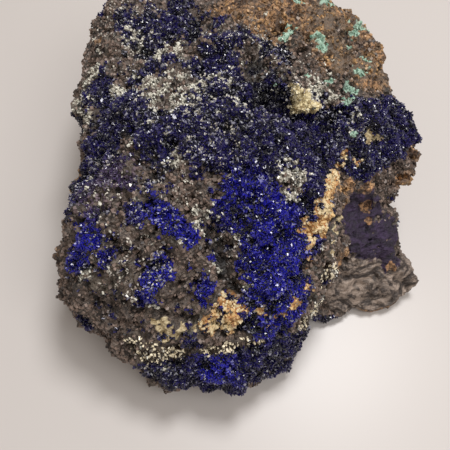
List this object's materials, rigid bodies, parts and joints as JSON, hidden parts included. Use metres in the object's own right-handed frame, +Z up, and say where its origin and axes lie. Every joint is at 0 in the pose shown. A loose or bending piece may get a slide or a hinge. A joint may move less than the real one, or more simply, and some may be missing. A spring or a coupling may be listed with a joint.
{
  "type": "azurite specimen",
  "caption": "Cabinet-sized lump of copper ore crusted with tiny azurite crystals, with limonite bands, malachite spots and a broken wing at one side, resting on its flat underside.",
  "frame": {"origin": "middle of the stone's outline in plan, on the surface it rests on", "axes": "+Z up out of the resting face, +Y from the crystal-covered front slope to the back, +X towards the broken wing"},
  "size_m": [0.0942, 0.111, 0.0525],
  "materials": {
    "azurite_stone": "rough rock crusted with dark blue azurite crystals, brown and tan matrix, glinting facets"
  },
  "bodies": {
    "root": {"azurite_specimen": "azurite_stone"}
  },
  "joints": []
}
